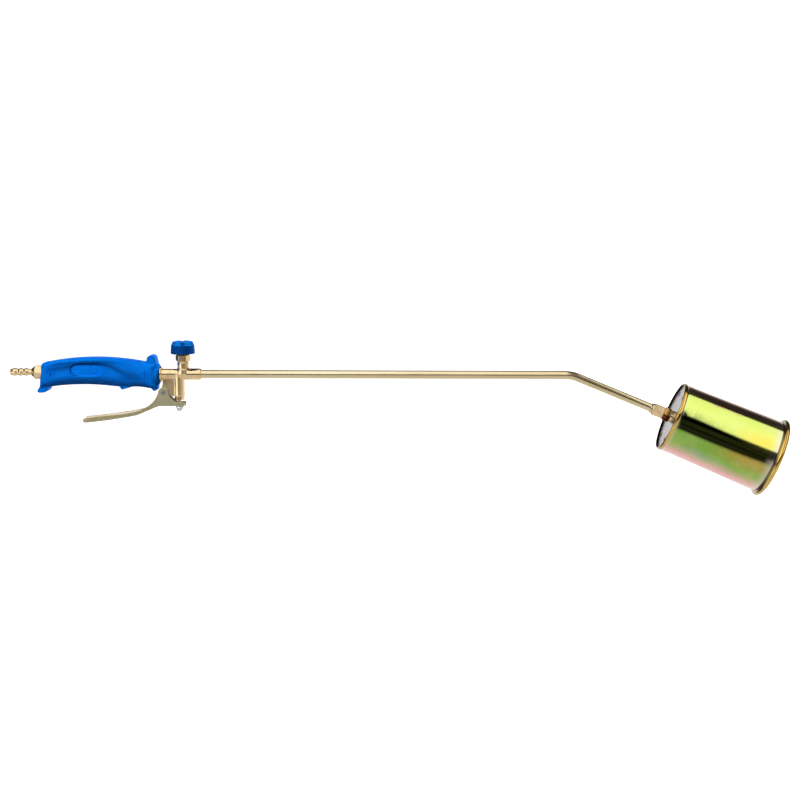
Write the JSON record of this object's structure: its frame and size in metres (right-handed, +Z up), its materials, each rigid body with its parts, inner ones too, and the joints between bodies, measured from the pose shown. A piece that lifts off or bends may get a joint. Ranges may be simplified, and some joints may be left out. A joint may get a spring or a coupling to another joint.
{
  "type": "propane torch",
  "caption": "Long-reach propane torch for roofing: hose barb, moulded grip, brass valve with flame knob and squeeze lever, bent steel lance and flared burner cup.",
  "frame": {"origin": "middle of the first ridge of the hose barb, on the barb's axis", "axes": "+X from the hose towards the burner, +Z up through the flame knob, Y = 0 is the plane of symmetry"},
  "size_m": [0.9346, 0.097, 0.1829],
  "materials": {
    "brass": "machined, bright",
    "grip_plastic": "moulded, satin blue",
    "knob_plastic": "moulded, satin blue",
    "steel": "oiled",
    "bright_steel": "bright zinc",
    "chromated_tube": "yellow chromate",
    "chromated_lever": "olive yellow chromate",
    "chromated_cup": "polished, iridescent yellow chromate",
    "plated_plate": "bright zinc",
    "packing": "fluoropolymer",
    "fibre": "vulcanised fibre",
    "rubber": "matt"
  },
  "bodies": {
    "torch": {"hose_barb": "brass", "hose_union_nut": "brass", "inlet_adapter": "brass", "valve_body": "brass", "gland_nut": "brass", "stem_gland": "brass", "tube_adapter": "brass", "burner_nut": "brass", "burner_stub": "brass", "plate_lock_nut": "brass", "gas_jet": "brass", "handle_right_shell": "grip_plastic", "handle_left_shell": "grip_plastic", "handle_shell_screws": "steel", "handle_clamp_screws": "grip_plastic", "lever_pivot_pin": "steel", "return_spring": "bright_steel", "inlet_tube": "chromated_tube", "main_tube": "chromated_tube", "burner_cup": "chromated_cup", "air_plate": "plated_plate", "spindle_packing": "packing", "hose_seal": "fibre", "stem_o_ring": "rubber"},
    "lever": {"lever": "chromated_lever"},
    "plunger": {"plunger": "brass", "plunger_seal": "rubber", "stem_nut": "bright_steel"},
    "spindle": {"needle_spindle": "brass"},
    "knob": {"knob": "knob_plastic", "knob_screw": "steel"}
  },
  "joints": [
    {"name": "lever_squeeze", "type": "hinge", "parent": "torch", "child": "lever", "pos_m": [0.1813, 0, -0.0242], "axis": [0, 1, 0], "range_deg": [0, 10], "stiffness_Nm_per_rad": 5, "springref_deg": -17.19},
    {"name": "plunger_slide", "type": "slide", "parent": "torch", "child": "plunger", "axis": [0, 0, -1], "range_m": [0, 0.0036], "deforming": ["return_spring"]},
    {"name": "spindle_rise", "type": "slide", "parent": "torch", "child": "spindle", "axis": [0, 0, 1], "range_m": [0, 0.002]},
    {"name": "knob_turn", "type": "hinge", "parent": "spindle", "child": "knob", "pos_m": [0.205, 0, 0.03], "axis": [0, 0, 1], "range_deg": [0, 900.1]}
  ],
  "couplings": [
    {"joint": "plunger_slide", "follows": "lever_squeeze", "m_per_rad": 0.02},
    {"joint": "knob_turn", "follows": "spindle_rise", "rad_per_m": 7854}
  ]
}
